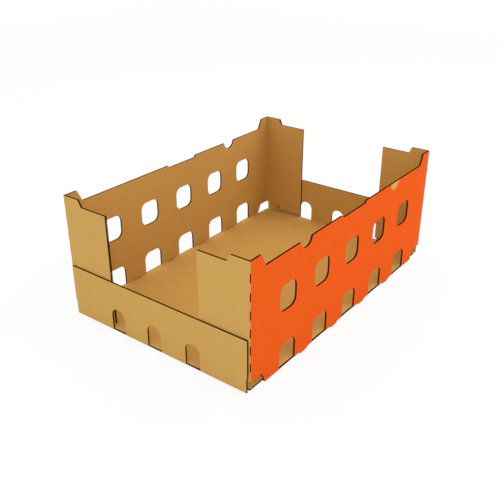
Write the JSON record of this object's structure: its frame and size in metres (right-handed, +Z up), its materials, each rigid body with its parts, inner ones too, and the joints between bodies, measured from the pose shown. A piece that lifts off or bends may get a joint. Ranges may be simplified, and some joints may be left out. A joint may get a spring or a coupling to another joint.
{
  "type": "cardboard tray box",
  "caption": "Open stacking tray folded from one sheet of corrugated board, with low end walls, vented long walls and corner tabs that key into the tray above.",
  "frame": {"origin": "under the middle of the tray, level with the tips of its feet", "axes": "+X along the long walls, +Y along the low end walls, +Z up out of the open top"},
  "size_m": [0.6, 0.4, 0.234],
  "materials": {
    "corrugated_board": "matt brown kraft liner, with one colour of flat print on the outside of the long walls"
  },
  "bodies": {
    "root": {"tray": "corrugated_board"}
  },
  "joints": []
}
